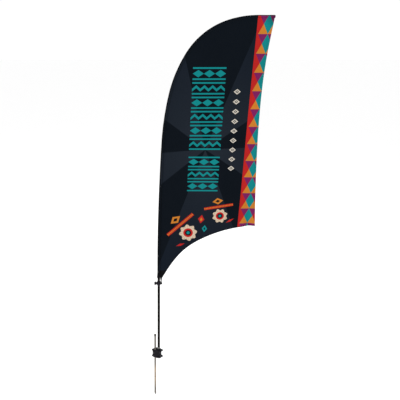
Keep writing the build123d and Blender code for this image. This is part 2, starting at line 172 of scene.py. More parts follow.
def relief(x, z):
    """How far behind its plane the cloth stands.

    It is a slow billow, pull folds from the foot, puckers at the seam and a curl at the low corner.
    """
    gaps = np.hypot(seam_samples[:, 0] - x, seam_samples[:, 1] - z)
    nearest = int(gaps.argmin())
    reach = float(gaps[nearest])
    free = smooth(reach / SEAM_CALM) * smooth((z - FOOT - FOOT_STILL) / FOOT_CALM)
    swing = sin(z / BILLOW_UP - x / BILLOW_ACROSS + BILLOW_PHASE)
    billow = BILLOW * swing * (BILLOW_AT_SEAM + (1 - BILLOW_AT_SEAM) * x / LOW_CORNER[0])
    rise, run = z - FOOT, x - LOW_CORNER[0] * 0.02
    pull = PULL_DEPTH * sin(PULL_FOLDS * atan2(run, rise)) * exp(-hypot(rise, run) / PULL_REACH)
    pull *= smooth(hypot(rise, run) / FOOT_CALM)
    corner = sum(high * exp(-(((x - middle) / wide) ** 2)) for middle, wide, high in CORNER_WAVES)
    corner *= exp(-(((z - LOW_CORNER[1]) / CORNER_REACH) ** 2))
    along = nearest * (POLE_LENGTH - FOOT) / SEAM_SAMPLES
    pucker = PUCKER_DEPTH * sin(along / PUCKER_WAVE) * exp(-reach / PUCKER_REACH)
    pucker *= smooth((z - PATCH_TOP) / PUCKER_START) * smooth(reach / PUCKER_CALM)
    return free * billow + pull * smooth(reach / PULL_CALM) + corner + pucker


# ---- Meshes ----


def piece(name, vertices, faces, materials, stands_for=(), paints=None, rides=True):
    """A mesh piece from points in millimetres, counted from the pole's axis. Most ride on the pole."""
    mesh = bpy.data.meshes.new(name)
    mesh.from_pydata([((POLE_X + x) * MM, y * MM, z * MM) for x, y, z in vertices], [], faces)
    mesh.validate()
    for material in materials:
        mesh.materials.append(material)
    if paints:
        mesh.polygons.foreach_set("material_index", paints)
    mesh.polygons.foreach_set("use_smooth", [True] * len(mesh.polygons))
    made = bpy.data.objects.new(name, mesh)
    bpy.context.scene.collection.objects.link(made)
    if rides:
        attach(made, "pole")
    if stands_for:
        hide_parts(*stands_for)
    return made


def loft(sections, closed=True, start_cap=False, end_cap=False):
    """Faces between rows of points, and the points in one list."""
    size = len(sections[0])
    faces = []
    for row in range(len(sections) - 1):
        for i in range(size if closed else size - 1):
            j = (i + 1) % size
            low = row * size
            faces.append((low + i, low + j, low + size + j, low + size + i))
    if start_cap:
        faces.append(tuple(reversed(range(size))))
    if end_cap:
        faces.append(tuple(range((len(sections) - 1) * size, len(sections) * size)))
    return [point for section in sections for point in section], faces


# ---- Materials: sockets that can be worked with like numbers ----


class Field:
    """A number that varies over a surface. Its arithmetic adds Math nodes."""

    def __init__(self, tree, socket):
        self.tree, self.socket = tree, socket

    def with_node(self, operation, *others):
        node = self.tree.nodes.new("ShaderNodeMath")
        node.operation = operation
        for socket, value in zip(node.inputs, (self, *others)):
            if isinstance(value, Field):
                self.tree.links.new(value.socket, socket)
            else:
                socket.default_value = value
        return Field(self.tree, node.outputs[0])

    def __add__(self, other):
        return self.with_node("ADD", other)

    def __sub__(self, other):
        return self.with_node("SUBTRACT", other)

    def __mul__(self, other):
        return self.with_node("MULTIPLY", other)

    def __truediv__(self, other):
        return self.with_node("DIVIDE", other)

    def __lt__(self, other):
        return self.with_node("LESS_THAN", other)

    def __gt__(self, other):
        return self.with_node("GREATER_THAN", other)

    def __and__(self, other):
        return self.with_node("MULTIPLY", other)

    def __or__(self, other):
        return self.with_node("MAXIMUM", other)

    def __invert__(self):
        return self * -1.0 + 1.0

    def __abs__(self):
        return self.with_node("ABSOLUTE")

    def wrapped(self):
        return self.with_node("FRACT")

    def waves(self, length):
        """From 0 to 1 and back over each length."""
        return (self * (2 * pi / length)).with_node("SINE") * 0.5 + 0.5

    def zigzag(self, length):
        """A triangle wave from -1 to 1 over each length."""
        return abs((self / length).wrapped() * 4.0 - 2.0) - 1.0

    def ranged(self, low, high, new_low=0.0, new_high=1.0):
        node = self.tree.nodes.new("ShaderNodeMapRange")
        node.inputs["From Min"].default_value = low
        node.inputs["From Max"].default_value = high
        node.inputs["To Min"].default_value = new_low
        node.inputs["To Max"].default_value = new_high
        self.tree.links.new(self.socket, node.inputs["Value"])
        return Field(self.tree, node.outputs[0])


STUDIO_GAIN = 1.32  # how much brighter than its base colour the studio's light shows a surface


def shown(*levels):
    """The base colour that the studio's light brings to levels of 0 to 255 on a screen."""
    shares = [level / 255 for level in levels]
    linear = (s / 12.92 if s <= 0.04045 else ((s + 0.055) / 1.055) ** 2.4 for s in shares)
    return tuple(s / STUDIO_GAIN for s in linear) + (1.0,)


EDGE_TINT = (0.3, 0.3, 0.3, 1.0)


class Surface:
    """A material in the making: one shader, its colour in layers, and fields over the object."""

    def __init__(self, name, colour, **settings):
        self.material = bpy.data.materials.new(name)
        self.material.use_nodes = True
        self.tree = self.material.node_tree
        self.shader = self.tree.nodes["Principled BSDF"]
        for setting, value in settings.items():
            self.shader.inputs[setting.replace("_", " ")].default_value = value
        self.colour, self.normal = colour, None
        self.place = self.tree.nodes.new("ShaderNodeTexCoord").outputs["Object"]
        split = self.tree.nodes.new("ShaderNodeSeparateXYZ")
        self.tree.links.new(self.place, split.inputs[0])
        self.x, self.y, self.z = (Field(self.tree, socket) * 1000.0 for socket in split.outputs)
        self.x = self.x - POLE_X

    def noise(self, size, detail=2.0, along=(1.0, 1.0, 1.0)):
        """A noise with features of a size in millimetres, drawn out along an axis by its factor."""
        scaled = self.tree.nodes.new("ShaderNodeMapping")
        scaled.inputs["Scale"].default_value = [1000.0 / (size * factor) for factor in along]
        self.tree.links.new(self.place, scaled.inputs["Vector"])
        node = self.tree.nodes.new("ShaderNodeTexNoise")
        node.inputs["Scale"].default_value = 1.0
        node.inputs["Detail"].default_value = detail
        self.tree.links.new(scaled.outputs[0], node.inputs["Vector"])
        return Field(self.tree, node.outputs[0])

    def layer(self, mask, colour, blend="MIX"):
        """Lays a colour, or a field as a grey, over what is there, as far as the mask says."""
        node = self.tree.nodes.new("ShaderNodeMix")
        node.data_type, node.blend_type = "RGBA", blend
        factor, under, over = node.inputs[0], node.inputs[6], node.inputs[7]
        for socket, value in ((factor, mask), (under, self.colour), (over, colour)):
            if isinstance(value, Field):
                self.tree.links.new(value.socket, socket)
            else:
                socket.default_value = value
        self.colour = Field(self.tree, node.outputs[2])

    def edges(self, width):
        """A mask that is 1 on sharp edges, within about a width in millimetres."""
        bevel = self.tree.nodes.new("ShaderNodeBevel")
        bevel.samples = 4
        bevel.inputs["Radius"].default_value = width * MM
        flat = self.tree.nodes.new("ShaderNodeNewGeometry")
        dot = self.tree.nodes.new("ShaderNodeVectorMath")
        dot.operation = "DOT_PRODUCT"
        self.tree.links.new(bevel.outputs[0], dot.inputs[0])
        self.tree.links.new(flat.outputs["Normal"], dot.inputs[1])
        return Field(self.tree, dot.outputs["Value"]).ranged(0.985, 0.86)

    def bump(self, height, depth):
        """Raises the surface by a height from 0 to 1 times a depth in millimetres."""
        node = self.tree.nodes.new("ShaderNodeBump")
        node.inputs["Distance"].default_value = depth * MM
        self.tree.links.new(height.socket, node.inputs["Height"])
        if self.normal:
            self.tree.links.new(self.normal, node.inputs["Normal"])
        self.normal = node.outputs[0]

    def finished(self, roughness):
        self.tree.links.new(self.colour.socket, self.shader.inputs["Base Color"])
        self.tree.links.new(roughness.socket, self.shader.inputs["Roughness"])
        if self.normal:
            self.tree.links.new(self.normal, self.shader.inputs["Normal"])
        return self.material


# ---- The print ----

INK_DARK, INK_LIGHT, INK_LIGHT_FAR = shown(12, 18, 25), shown(33, 39, 47), shown(20, 27, 37)
TEAL, RED, ORANGE, PURPLE = shown(18, 131, 133), shown(184, 36, 34), shown(199, 123, 44), shown(122, 33, 90)
CREAM, PALE = shown(214, 192, 166), shown(212, 205, 192)
LEAN = 0.0245
BURST = (261.0, 1418.0)
BURST_EDGES = (2, 35, 68, 104, 143, 183, 219, 249, 291, 326)
BURST_REACH = 620.0
BAND_FOOT, BAND_STRIP, BAND_COLUMN, BAND_ROW = (468.6, 970.0), 8.6, 49.4, 96.0
BAND_LEAN = 0.03
# how far the painted shade at the flag's tip reaches
PAINTED_TIP_SHADE_REACH = 50.0
FRIEZE_X, FRIEZE_Z, FRIEZE_HALF = 258.0, 1445.0, 88.0
FRIEZES = ((1868.0, 76.2, 6), (1382.0, 71.8, 3))
MARKS_X, MARKS_Z, MARK_PITCH, MARK_COUNT = 413.5, 1762.0, 53.2, 9
MARK_HALF_WIDTH, MARK_HALF_HEIGHT = 19.0, 14.5
FRIEZE_BAR, FRIEZE_ZIGZAG_HALF, FRIEZE_LOZENGES = (0.63, 0.86), 0.2, 1.5
EMBLEMS = ((127.0, 961.0, 43.0, 1.2), (350.0, 1077.0, 10.0, 1.0))
ROSETTE_DROP, ROSETTE_RADIUS, ROSETTE_PETALS, ROSETTE_VEINS = 59.0, 45.0, 8, 10
VEIN_START, RING, DISC, HEART = 27.0, 24.0, 15.0, 8.0
LOZENGE_RISE, LOZENGE_WIDE, LOZENGE_HIGH, LOZENGE_HOLE = 35.0, 31.0, 20.0, 0.45
BAR_WIDE, BAR_HIGH, BAR_INLAY_PITCH, BAR_INLAY = 85.0, 8.0, 17.0, 0.75
SCATTERED = (
    (421.0, 989.0, 27.0, 7.0, 30.0, RED),
    (130.0, 829.0, 28.0, 7.5, 20.0, RED),
    (251.0, 998.0, 19.0, 27.0, -8.0, RED),
    (251.0, 996.0, 8.0, 13.0, -8.0, ORANGE),
    (272.0, 937.0, 16.0, 23.0, -4.0, TEAL),
    (272.0, 937.0, 6.0, 9.0, -4.0, INK_DARK),
)


def turned(surface, x, z, angle):
    """Fields across and up from a place, turned by an angle in degrees."""
    across, up = surface.x - x, surface.z - z
    c, s = cos(radians(angle)), sin(radians(angle))
    return across * c + up * s, up * c - across * s


def polar(across, up):
    """The distance from a place, and the angle round it in degrees from 0 to 360."""
    distance = (across * across + up * up).with_node("SQRT")
    angle = up.with_node("ARCTAN2", across) * (180 / pi / 360)
    return distance, angle.wrapped() * 360.0


def lay_burst(cloth):
    """Dark and lighter rays from one place, the lighter ones fading outwards."""
    distance, angle = polar(cloth.x - BURST[0], cloth.z - BURST[1])
    ramp = cloth.tree.nodes.new("ShaderNodeValToRGB")
    ramp.color_ramp.interpolation = "CONSTANT"
    stops = ramp.color_ramp.elements
    stops[0].position, stops[1].position = 0.0, BURST_EDGES[0] / 360
    stops[0].color, stops[1].color = (1.0,) * 4, (0.0, 0.0, 0.0, 1.0)
    for i, edge in enumerate(BURST_EDGES[1:]):
        stops.new(edge / 360).color = (float(1 - i % 2),) * 3 + (1.0,)
    cloth.tree.links.new((angle / 360.0).socket, ramp.inputs[0])
    rays = Field(cloth.tree, ramp.outputs[0])
    cloth.layer(rays, INK_LIGHT)
    cloth.layer(rays & (distance / BURST_REACH), INK_LIGHT_FAR)


def lay_frieze(cloth, top, pitch, count):
    """A column of tiles of bars with a zigzag or lozenges between them."""
    place = (cloth.z * -1.0 + top) / pitch
    inside = (place > 0.0) & (place < float(count))
    up = abs(place.wrapped() * 2.0 - 1.0)
    signed = place.wrapped() * 2.0 - 1.0
    across = (cloth.x - FRIEZE_X - (cloth.z - FRIEZE_Z) * LEAN) / FRIEZE_HALF
    inside = inside & (abs(across) < 1.0)
    bars = (up > FRIEZE_BAR[0]) & (up < FRIEZE_BAR[1])
    zigzag = abs(signed - across.zigzag(0.5) * 0.25) < FRIEZE_ZIGZAG_HALF
    lozenges = (abs((across * FRIEZE_LOZENGES + 0.5).wrapped() * 2.0 - 1.0) + up * 2.0) < 1.0
    other = (place * 0.5).wrapped() > 0.5
    cloth.layer(inside & (bars | (zigzag & other) | (lozenges & ~other)), TEAL)


def lay_marks(cloth):
    """A column of small pale lozenges with open middles."""
    place = (cloth.z * -1.0 + MARKS_Z) / MARK_PITCH
    up = abs(place.wrapped() - 0.5) * (MARK_PITCH / MARK_HALF_HEIGHT)
    across = abs(cloth.x - MARKS_X - (cloth.z - FRIEZE_Z) * LEAN) / MARK_HALF_WIDTH
    size = across + up
    column = (place > 0.0) & (place < float(MARK_COUNT))
    cloth.layer(column & (((size < 1.0) & (size > 0.56)) | (size < 0.24)), PALE)


def lay_emblem(cloth, x, z, angle, scale):
    """Three plain ornaments with gaps between them: a lozenge, a bar and a rosette."""
    across, up = turned(cloth, x, z, angle)
    across, up = across / scale, up / scale
    distance, turn = polar(across, up + ROSETTE_DROP)
    petals = (turn.waves(360 / ROSETTE_PETALS) * 0.2 + 0.8) * ROSETTE_RADIUS
    veins = abs(turn.zigzag(360 / ROSETTE_VEINS)) > 0.93
    cloth.layer(distance < petals, CREAM)
    cloth.layer((distance < petals) & (distance > VEIN_START) & veins, INK_LIGHT)
    cloth.layer((distance < RING) & (distance > DISC), RED)
    cloth.layer((distance < DISC) & (distance > HEART), INK_DARK)
    cloth.layer(distance < HEART, TEAL)
    lozenge = abs(across) / LOZENGE_WIDE + abs(up - LOZENGE_RISE) / LOZENGE_HIGH
    cloth.layer(lozenge < 1.0, ORANGE)
    cloth.layer(lozenge < LOZENGE_HOLE, INK_DARK)
    bar = (abs(up) < BAR_HIGH) & (abs(across) < BAR_WIDE)
    inlay = (abs(across.zigzag(BAR_INLAY_PITCH)) + abs(up) / BAR_HIGH) < BAR_INLAY
    cloth.layer(bar, RED)
    cloth.layer(bar & inlay, ORANGE)


def lay_band(cloth):
    """The harlequin band along the free edge, with red and teal lozenges beside a narrow red strip."""
    across = cloth.x - BAND_FOOT[0] - (cloth.z - BAND_FOOT[1]) * BAND_LEAN
    column = (across - BAND_STRIP) / BAND_COLUMN
    row = (cloth.z - BAND_FOOT[1]) / BAND_ROW
    up = row.wrapped() - 0.5
    band = column > 0.0
    cloth.layer(across > 0.0, RED)
    cloth.layer(band, ORANGE)
    cloth.layer(band & (up > 0.0), PURPLE)
    lozenge = (abs((column + 0.5).wrapped() - 0.5) + abs(up)) < 0.5
    teal = ((column * 0.5 + 0.25).wrapped()) > 0.5
    cloth.layer(band & lozenge & ~teal, RED)
    cloth.layer(band & lozenge & teal, TEAL)


def lay_painted_tip_shade(cloth):
    """Painted shade: the print darkened towards the flag's tip, beside the pocket."""
    distance, _ = polar(cloth.x - TIP[0], cloth.z - TIP[1])
    cloth.layer(distance.ranged(PAINTED_TIP_SHADE_REACH, 8.0) * 0.5, INK_DARK)


def knit(cloth, depth):
    """The fine ribs and courses of warp-knitted polyester, with its soft creases."""
    ribs, courses = (cloth.x + cloth.z * 0.5).waves(1.5), (cloth.z - cloth.x * 0.5).waves(1.5)
    cloth.bump(ribs & courses, depth)
    cloth.bump(cloth.noise(95.0, 3.0, (1.0, 1.0, 2.2)), 5.0)
    cloth.bump(cloth.noise(16.0, 2.0, (1.0, 1.0, 1.7)), 0.35)


def printed_cloth():
    """The flag's print, from the burst behind it to the band over it, on knitted cloth."""
    finish = {"Specular_IOR_Level": 0.02, "Sheen_Weight": 0.01, "Sheen_Roughness": 0.6}
    cloth = Surface("printed_knit", INK_DARK, **finish)
    lay_burst(cloth)
    for frieze in FRIEZES:
        lay_frieze(cloth, *frieze)
    lay_marks(cloth)
    for emblem in EMBLEMS:
        lay_emblem(cloth, *emblem)
    for x, z, wide, high, angle, colour in SCATTERED:
        across, up = turned(cloth, x, z, angle)
        cloth.layer((abs(across) / wide + abs(up) / high) < 1.0, colour)
    lay_band(cloth)
    # painted shade on the print towards the flag's tip
    lay_painted_tip_shade(cloth)
    cloth.layer(0.5, cloth.noise(240.0, 3.0).ranged(0.3, 0.7, 0.86, 1.1), "MULTIPLY")
    cloth.layer(0.7, cloth.noise(2.2, 2.0).ranged(0.3, 0.7, 0.84, 1.16), "MULTIPLY")
    knit(cloth, 0.12)
    return cloth.finished(cloth.noise(30.0).ranged(0.3, 0.7, 0.72, 0.9))


def plain_cloth(name, colour, rib, depth, axis="z"):
    """Black woven or webbed cloth, ribbed across an axis."""
    cloth = Surface(name, colour, Specular_IOR_Level=0.03)
    along, across = (cloth.z, cloth.x + cloth.y) if axis == "z" else (cloth.x, cloth.z + cloth.y)
    weave = along.waves(rib) & across.waves(rib * 1.6)
    cloth.layer(weave * 0.55, shown(30, 31, 35))
    cloth.layer(cloth.noise(18.0, 3.0).ranged(0.5, 0.85) * 0.35, shown(40, 39, 40))
    cloth.bump(weave, depth)
    cloth.bump(cloth.noise(7.0), 0.3)
    return cloth.finished(cloth.noise(5.0).ranged(0.3, 0.7, 0.68, 0.92))


def moulding():
    """Black glass-filled nylon with a spark-eroded grain, scuffed on its edges."""
    plastic = Surface("black_moulding", shown(29, 28, 33), Specular_IOR_Level=0.05)
    worn = plastic.edges(0.5) & plastic.noise(3.0, 4.0).ranged(0.42, 0.62)
    plastic.layer(plastic.noise(9.0, 4.0).ranged(0.4, 0.75) * 0.5, shown(44, 43, 50))
    plastic.layer(worn * 0.6, shown(84, 82, 84))
    plastic.bump(plastic.noise(0.45, 3.0), 0.05)
    plastic.bump(plastic.noise(6.0, 2.0), 0.08)
    return plastic.finished(plastic.noise(4.0, 3.0).ranged(0.3, 0.7, 0.42, 0.62))


def drawn_tube(name, colour, bright, low, high, metallic=0.0, gloss=0.015):
    """Painted, anodised or fibre tube with fine lengthwise drawing marks and rub marks."""
    tube = Surface(name, colour, Metallic=metallic, Specular_IOR_Level=gloss, Specular_Tint=EDGE_TINT)
    lines = tube.noise(0.7, 3.0, (1.0, 1.0, 60.0))
    tube.layer(lines.ranged(0.45, 0.75) * 0.5, bright)
    tube.layer(tube.noise(11.0, 5.0).ranged(0.58, 0.72) * 0.4, bright)
    tube.bump(lines, 0.03)
    return tube.finished(tube.noise(14.0, 3.0, (1.0, 1.0, 4.0)).ranged(0.3, 0.7, low, high))


# the colour of the painted highlight along metal edges
EVEN_GRAIN, PAINTED_EDGE_HIGHLIGHT = (1.0, 1.0, 1.0), shown(235, 232, 226)


def metal(name, colour, stain, low, high, grain=EVEN_GRAIN, painted_highlight=PAINTED_EDGE_HIGHLIGHT, soil=None):
    """Bare or plated metal with a grain, stains and a painted highlight along its edges.

    Soil is a stretch between a top and a foot height, with its colour.
    """
    surface = Surface(name, colour, Metallic=1.0, Specular_Tint=EDGE_TINT)
    lines = surface.noise(0.5, 3.0, grain)
    surface.layer(lines.ranged(0.4, 0.75) * 0.35, stain)
    surface.layer(surface.noise(8.0, 5.0, (1.0, 1.0, 1.8)).ranged(0.52, 0.7) * 0.55, stain)
    # painted highlight: the edges lightened as if they caught the light
    surface.layer(surface.edges(0.35) * 0.5, painted_highlight)
    if soil:
        top, foot, colour_in_soil = soil
        below_top = surface.z.ranged(top + 25.0, top - 25.0)
        above_foot = surface.z.ranged(foot - 40.0, foot + 40.0)
        stretch = below_top & above_foot
        surface.layer((stretch & surface.noise(14.0, 5.0).ranged(0.2, 0.55)) * 0.85, colour_in_soil)
    surface.bump(lines, 0.02)
    surface.bump(surface.noise(3.0, 3.0), 0.03)
    return surface.finished(surface.noise(6.0, 4.0).ranged(0.3, 0.7, low, high))


def nylon():
    """Grey nylon, faintly clouded, with turning marks round the axis."""
    plastic = Surface("grey_nylon", shown(118, 117, 115), Subsurface_Weight=0.08, Subsurface_Scale=0.002)
    plastic.layer(plastic.noise(10.0, 4.0).ranged(0.4, 0.7) * 0.4, shown(100, 99, 97))
    plastic.layer(plastic.z.waves(0.8) * 0.12, shown(84, 83, 81))
    plastic.bump(plastic.z.waves(0.8), 0.02)
    return plastic.finished(plastic.noise(5.0).ranged(0.3, 0.7, 0.34, 0.5))


def thread_material():
    """Black twisted sewing thread."""
    thread = Surface("black_thread", shown(24, 25, 30), Specular_IOR_Level=0.05)
    twist = (thread.z + thread.x * 0.6).waves(0.9)
    thread.layer(twist * 0.5, shown(44, 46, 52))
    thread.bump(twist, 0.06)
    return thread.finished(thread.noise(2.0).ranged(0.3, 0.7, 0.5, 0.75))


PRINT = printed_cloth()
SLEEVE_CLOTH = plain_cloth("black_sleeve_weave", shown(7, 8, 11), 0.9, 0.1)
WEBBING = plain_cloth("black_webbing", shown(10, 11, 14), 1.7, 0.28)
ELASTIC = plain_cloth("black_elastic", shown(16, 16, 18), 1.1, 0.22, "x")
THREAD = thread_material()
MOULDING = moulding()
STEEL_SPOT = shown(112, 104, 96)
SPIKE_SOIL = (-75.0, -225.0, shown(203, 180, 154))
DRAWN, TURNED, TURNED_ACROSS = (1.0, 1.0, 70.0), (30.0, 30.0, 1.0), (1.0, 30.0, 30.0)
NODE_MATERIALS = {
    "bracket_front_half bracket_rear_half tension_collar strap_post thumb_knob pole_tip_cap": MOULDING,
    "pole_lower_tube pole_middle_tube pole_upper_tube": drawn_tube(
        "black_pole_paint", shown(17, 15, 14), shown(33, 30, 28), 0.5, 0.7
    ),
    "pole_tip_rod": drawn_tube("black_glass_fibre", shown(20, 20, 21), shown(50, 48, 44), 0.3, 0.5),
    "lower_ferrule middle_ferrule upper_ferrule": drawn_tube(
        "dark_anodised_aluminium", shown(60, 61, 65), shown(96, 97, 100), 0.28, 0.44, 1.0
    ),
    "spike_rod": metal(
        "drawn_spike_steel", shown(142, 136, 129), STEEL_SPOT, 0.4, 0.6, DRAWN, soil=SPIKE_SOIL
    ),
    "spike_cap": metal("hammered_spike_cap", shown(112, 112, 106), shown(74, 70, 64), 0.45, 0.66),
    "spindle": metal("turned_spindle_steel", shown(180, 178, 172), STEEL_SPOT, 0.24, 0.4, TURNED),
    "clamp_bolts clamp_washers clamp_nuts spindle_clip thrust_washer knob_stud": metal(
        "zinc_plate", shown(112, 112, 114), shown(84, 84, 82), 0.34, 0.52
    ),
    "collar_insert": metal(
        "turned_brass", shown(206, 172, 96), shown(140, 108, 52), 0.26, 0.42, TURNED_ACROSS
    ),
    "corner_grommet grommet_washer": metal(
        # a dimmer painted highlight along the grommet's edges
        "tarnished_nickel", shown(76, 74, 73), shown(52, 50, 48), 0.3, 0.45, painted_highlight=shown(150, 148, 145)
    ),
    "rotator_sleeve": nylon(),
}
for names, material in NODE_MATERIALS.items():
    for name in names.split():
        nodes[name].data.materials.clear()
        nodes[name].data.materials.append(material)

# ---- The flag's cloth ----

CLOTH_HALF = 0.22
CLOTH_ROWS_LOW, CLOTH_ROWS_HIGH, CLOTH_COLUMNS = 52, 190, 84
CLOTH_INSET = 7.0
LEVEL_LENGTH = 955.4  # along the pole, about level with the low corner


def cloth_row(low_part, share):
    """The two ends of a row of the cloth's mesh: at the sleeve, and on the bottom or the free edge."""
    if low_part:
        length, outer = between(FOOT + 2.0, LEVEL_LENGTH, share), bottom_edge(between(0.004, 1.0, share))
    else:
        length, outer = between(LEVEL_LENGTH, POLE_LENGTH - 1.0, share), free_edge(share)
    return beside(length, CLOTH_INSET), outer


def cloth_points(side):
    """The cloth's front or back as rows of points."""
    rows = [cloth_row(True, i / CLOTH_ROWS_LOW) for i in range(CLOTH_ROWS_LOW)]
    rows += [cloth_row(False, i / CLOTH_ROWS_HIGH) for i in range(CLOTH_ROWS_HIGH + 1)]
    points = []
    for (x0, z0), (x1, z1) in rows:
        for j in range(CLOTH_COLUMNS + 1):
            share = j / CLOTH_COLUMNS
            x, z = between(x0, x1, share), between(z0, z1, share)
            points.append((x, relief(x, z) + side * CLOTH_HALF, z))
    return points


def make_cloth():
    """The printed cloth as a closed thin sheet."""
    front = cloth_points(-1)
    back = [(x, y + 2 * CLOTH_HALF, z) for x, y, z in front]
    width, height = CLOTH_COLUMNS + 1, CLOTH_ROWS_LOW + CLOTH_ROWS_HIGH + 1
    faces = []
    for i in range(height - 1):
        for j in range(width - 1):
            a, b = i * width + j, (i + 1) * width + j
            faces.append((a, a + 1, b + 1, b))
            faces.append(tuple(len(front) + corner for corner in (b, b + 1, a + 1, a)))
    rim = list(range(width)) + [i * width + width - 1 for i in range(1, height)]
    rim += [(height - 1) * width + j for j in range(width - 2, -1, -1)]
    rim += [i * width for i in range(height - 2, 0, -1)]
    for a, b in zip(rim, rim[1:] + rim[:1]):
        faces.append((b, a, a + len(front), b + len(front)))
    points = front + back
    return piece("flag_cloth", points, faces, [PRINT], stands_for=["flag_panel"])


# ---- Hems, sewn along an edge ----

SIDE_HEM_WIDTH, BOTTOM_HEM_WIDTH, BINDING_WIDTH = 12.0, 9.0, 4.6
HEM_HALF, HEM_VALLEY, HEM_STEP = 0.85, 0.5, 7.0
STITCH_INSET = 2.0


def edge_frames(edge, length, start=0.0, end=1.0):
    """Points along an edge with the direction into the cloth, which lies on the edge's left."""
    count = int(length * (end - start) / HEM_STEP)
    frames = []
    for i in range(count + 1):
        share = between(start, end, i / count)
        x, z = edge(share)
        (xa, za), (xb, zb) = edge(max(share - 0.001, 0.0)), edge(min(share + 0.001, 1.0))
        span = hypot(xb - xa, zb - za)
        frames.append((x, z, -(zb - za) / span, (xb - xa) / span))
    return frames


def hem_section(width, half):
    """Distances into the cloth and half thicknesses of a folded hem, from its inner line to its edge."""
    stitch = width - STITCH_INSET
    steps = [(width, CLOTH_HALF + 0.1), (width - 0.5, 0.62 * half)]
    steps += [(stitch, HEM_VALLEY), (stitch - 1.6, 0.86 * half)]
    for share in (0.35, 0.7):
        steps.append((between(stitch - 1.6, 1.2, share), half * (1 + 0.1 * sin(pi * share))))
    return steps + [(1.2, 0.98 * half), (0.5, 0.8 * half), (0.1, 0.4 * half), (0.0, 0.0)]


def make_hem(name, frames, width, half, stands_for, dark=0.0):
    """A folded hem over an edge, printed like the cloth, or dark for a distance from the edge."""
    front = hem_section(width, half)
    section = [(inset, -thick) for inset, thick in front]
    section += [(inset, thick) for inset, thick in reversed(front[:-1])]
    sections = []
    for i, (x, z, inward_x, inward_z) in enumerate(frames):
        row = []
        for inset, y in section:
            px, pz = x + inward_x * inset, z + inward_z * inset
            drawn = 0.06 * sin(i * 2.1) * sin(i * 0.37 + inset)
            row.append((px, relief(px, pz) + y * (1 + drawn), pz))
        sections.append(row)
    points, faces = loft(sections, closed=True, start_cap=True, end_cap=True)
    size, paints = len(section), []
    for face in faces:
        insets = [section[corner % size][0] for corner in face]
        paints.append(1 if dark and max(insets) <= dark else 0)
    cloths = [PRINT, SLEEVE_CLOTH]
    return piece(name, points, faces, cloths, paints=paints, stands_for=stands_for)


# ---- The sleeve round the pole, and the pocket at its end ----

SLEEVE_STEP = 6.0
MOUTH_FLARE = 0.27
PRINT_FROM = -0.6
TAIL, SLEEVE_HALF, SHOULDER = 11.0, 0.95, radians(50)
MOUTH_ROWS = ((0.2, 0.55), (3.0, 0.75), (30.0, 0.75), (70.0, 0.75))


def radius_at(length):
    for (low, low_radius), (high, high_radius) in zip(SLEEVE_RADII, SLEEVE_RADII[1:]):
        if length <= high:
            return between(low_radius, high_radius, max(length - low, 0.0) / (high - low))
    return SLEEVE_RADII[-1][1]


def sleeve_section(radius, tail, half):
    """The sleeve's outline across the pole: round at the pole and drawn down to a flat tail at the seam."""
    shoulder_inset, shoulder_y = radius * cos(SHOULDER), radius * sin(SHOULDER)
    front = [(tail, -half * 0.75), (tail - 0.8, -half), (SEAM_INSET, -half * 0.72)]
    for share in (0.2, 0.5, 0.8):
        front.append((between(SEAM_INSET, shoulder_inset, share), -between(half, shoulder_y, share**1.5)))
    front += [(radius * cos(angle), -radius * sin(angle)) for angle in np.linspace(SHOULDER, pi, 15)]
    return front + [(inset, -y) for inset, y in reversed(front[:-1])]


def sleeve_at(length):
    """The sleeve's outline at a length, creased, and flared at its mouth."""
    radius = radius_at(length)
    mouth = smooth(1 - (length - SLEEVE_RADII[0][0]) / 42.0)
    bent = smooth((length - 1300.0) / 500.0)
    creased = []
    for i, (inset, y) in enumerate(sleeve_section(radius, TAIL, SLEEVE_HALF)):
        crease = 0.28 * sin(length / 11.0 + 0.9 * i) + 0.2 * sin(length / 27.0 + 2.0 * i)
        crease *= 0.35 + bent * (0.5 + 0.5 * (inset > 0)) + 0.4 * mouth
        grown = 1 + crease * 0.1 + MOUTH_FLARE * mouth * (inset < 0)
        creased.append((inset * grown, y * (1 + crease * 0.1 - 0.06 * mouth)))
    return creased


def across_pole(length, section):
    """A row of points from a section across the pole. Past the pole's end it moves on along X."""
    x, z, lean = centre_line(min(length, POLE_LENGTH))
    x += max(length - POLE_LENGTH, 0.0)
    return [(x + inset * cos(lean), y, z - inset * sin(lean)) for inset, y in section]


def mouth_row(length, turned_in):
    """A row of points just inside the sleeve, where its cloth is turned in at the mouth."""
    x, z, _ = centre_line(length)
    outer = sleeve_at(length)
    middle = sum(inset for inset, _ in outer) / len(outer)
    row = []
    for inset, y in outer:
        inwards = turned_in * copysign(min(abs(inset - middle) / 3, 1), inset - middle)
        row.append((x + inset - inwards, y - 0.6 * copysign(min(abs(y) / 1.2, 0.75), y), z))
    return row


def make_sleeve():
    """The black outer face of the sleeve, its printed inner side, and its turned-in mouth."""
    start, end = SLEEVE_RADII[0][0], SLEEVE_RADII[-1][0] + 4.0
    steps = int((end - start) / SLEEVE_STEP)
    lengths = [start + (end - start) * i / steps for i in range(steps + 1)]
    rows = [across_pole(length, sleeve_at(length)) for length in lengths]
    size = len(rows[0])
    points, faces = loft(rows)
    flat_section = sleeve_section(8.0, TAIL, SLEEVE_HALF)
    paints = []
    for face in faces:
        inset = sum(flat_section[corner % size][0] for corner in face) / 4
        paints.append(1 if inset > PRINT_FROM and points[face[0]][2] > PATCH_TOP else 0)
    mouth = [mouth_row(start + depth, turned_in) for depth, turned_in in MOUTH_ROWS]
    inner, inner_faces = loft([rows[0]] + mouth)
    shift = len(points)
    faces += [tuple(reversed([corner + shift for corner in face])) for face in inner_faces]
    paints += [0] * len(inner_faces)
    return piece(
        "sleeve_cloth",
        points + inner,
        faces,
        [SLEEVE_CLOTH, PRINT],
        paints=paints,
        stands_for=["pole_sleeve"],
    )


POCKET_RADIUS, POCKET_REACH, POCKET_WALL = 4.0, 25.4, 1.1
POCKET_OVERLAP, POCKET_STEPS, POCKET_CLOSING = 6.0, 24, 0.22


